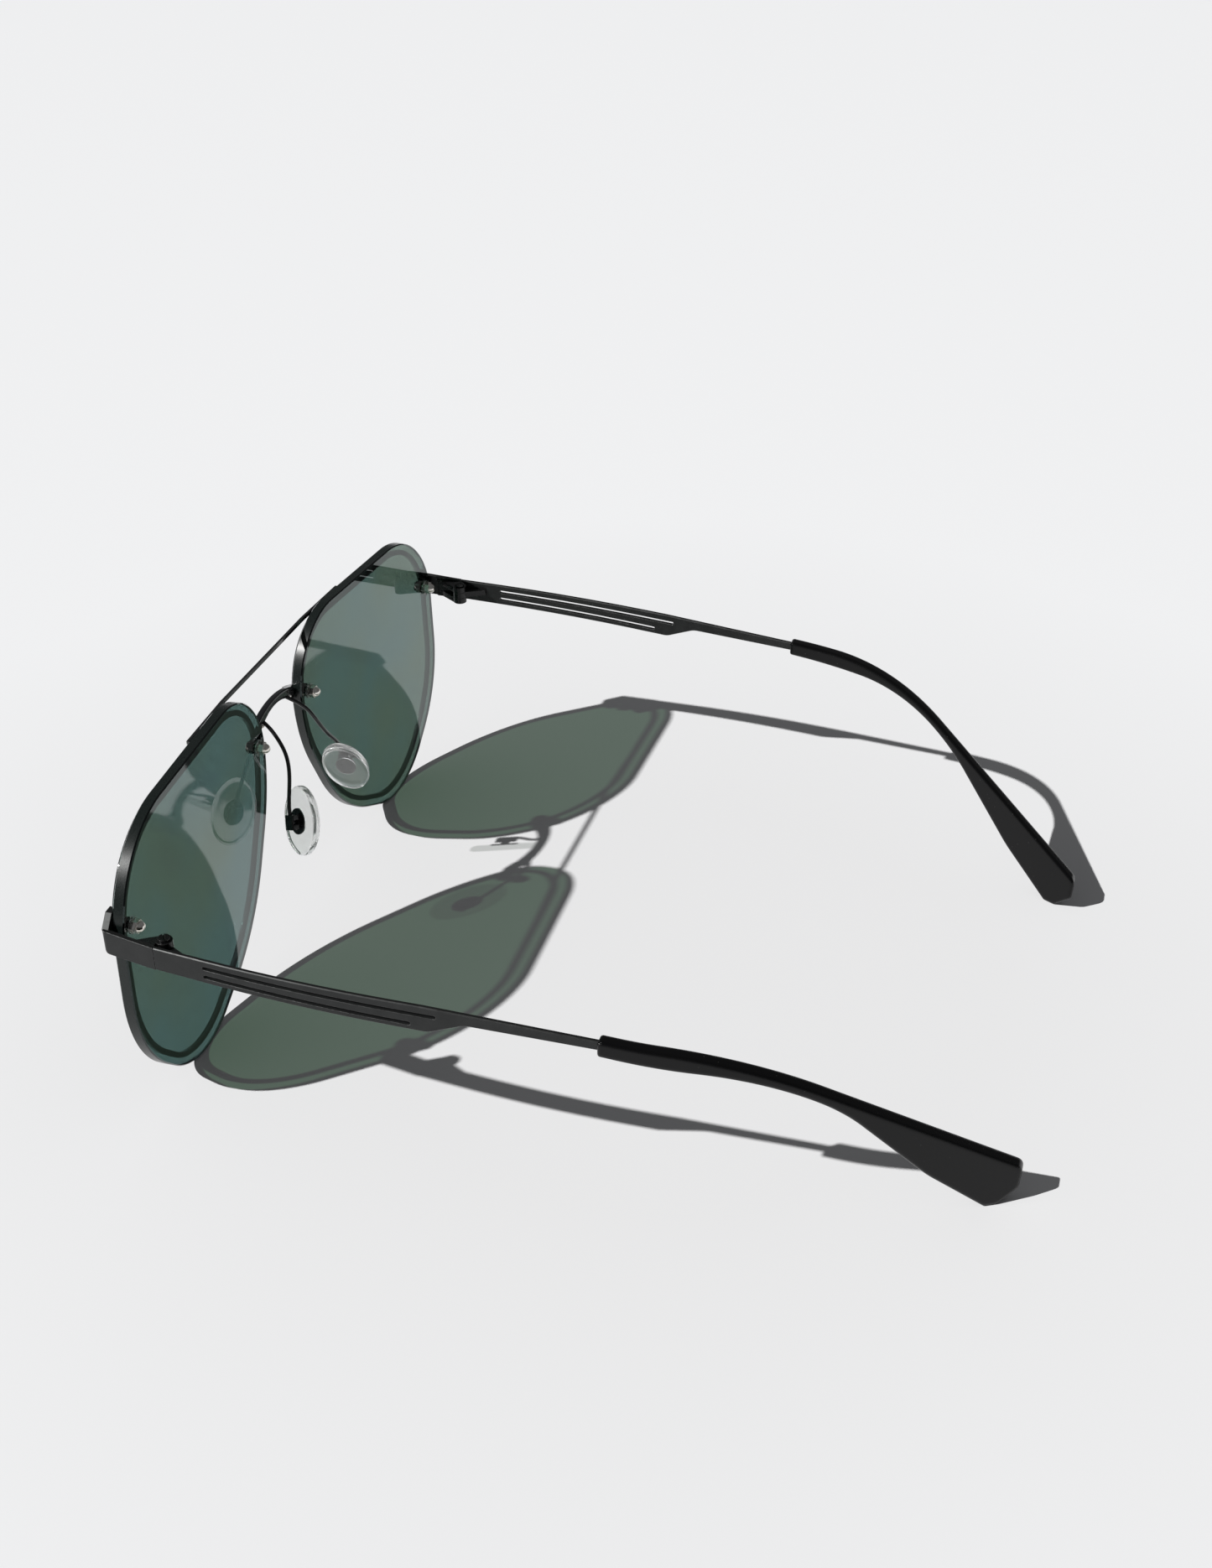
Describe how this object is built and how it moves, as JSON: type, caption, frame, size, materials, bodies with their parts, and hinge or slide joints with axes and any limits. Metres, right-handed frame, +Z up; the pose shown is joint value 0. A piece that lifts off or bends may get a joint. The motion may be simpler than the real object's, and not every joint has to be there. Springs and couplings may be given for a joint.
{
  "type": "aviator sunglasses",
  "caption": "Double-bridge aviator sunglasses: flat tinted lenses screwed behind wire rims, folding slotted metal temples with plastic tips, rocking nose pads.",
  "frame": {"origin": "on the table, under the middle of the glasses' bounding box with the temples open", "axes": "+X towards the wearer's left temple, -Y the way the lenses face, +Y back along the temples, +Z up"},
  "size_m": [0.1404, 0.1507, 0.0573],
  "materials": {
    "rim_metal": "glossy black coating",
    "temple_metal": "satin black-grey coating",
    "hinge_metal": "semi-gloss black coating",
    "wire_metal": "semi-gloss black coating",
    "bright_metal": "polished nickel silver",
    "tinted_lens": "polished, green tint, reflective inside",
    "washer_plastic": "clear soft plastic",
    "tip_plastic": "polished black acetate",
    "pad_silicone": "clear soft silicone"
  },
  "bodies": {
    "front": {"rim_left": "rim_metal", "lens_left": "tinted_lens", "end_piece_left": "temple_metal", "front_hinge_left": "hinge_metal", "hinge_screw_left": "hinge_metal", "pad_arm_left": "wire_metal", "pad_box_left": "wire_metal", "pad_pin_left": "bright_metal", "rim_right": "rim_metal", "lens_right": "tinted_lens", "end_piece_right": "temple_metal", "front_hinge_right": "hinge_metal", "hinge_screw_right": "hinge_metal", "pad_arm_right": "wire_metal", "pad_box_right": "wire_metal", "pad_pin_right": "bright_metal", "bridge": "rim_metal", "bridge_rivets": "bright_metal", "brow_bar": "rim_metal", "lens_screws": "rim_metal", "lens_washers": "washer_plastic", "lens_nuts": "bright_metal"},
    "temple_left": {"temple_left": "temple_metal", "temple_hinge_left": "hinge_metal", "temple_tip_left": "tip_plastic"},
    "temple_right": {"temple_right": "temple_metal", "temple_hinge_right": "hinge_metal", "temple_tip_right": "tip_plastic"},
    "pad_left": {"pad_plate_left": "wire_metal", "nose_pad_left": "pad_silicone"},
    "pad_right": {"pad_plate_right": "wire_metal", "nose_pad_right": "pad_silicone"}
  },
  "joints": [
    {"name": "temple_left_fold", "type": "hinge", "parent": "front", "child": "temple_left", "pos_m": [0.0666, -0.06219, 0.03915], "axis": [0, 0, 1], "range_deg": [0, 79]},
    {"name": "temple_right_fold", "type": "hinge", "parent": "front", "child": "temple_right", "pos_m": [-0.0666, -0.06219, 0.03915], "axis": [0, 0, 1], "range_deg": [-69, 0]},
    {"name": "pad_left_rock", "type": "hinge", "parent": "front", "child": "pad_left", "pos_m": [0.0125, -0.06619, 0.0288], "axis": [-0.4083, -0.1755, 0.8958], "range_deg": [-9, 9]},
    {"name": "pad_right_rock", "type": "hinge", "parent": "front", "child": "pad_right", "pos_m": [-0.0125, -0.06619, 0.0288], "axis": [0.4083, -0.1755, 0.8958], "range_deg": [-9, 9]}
  ]
}
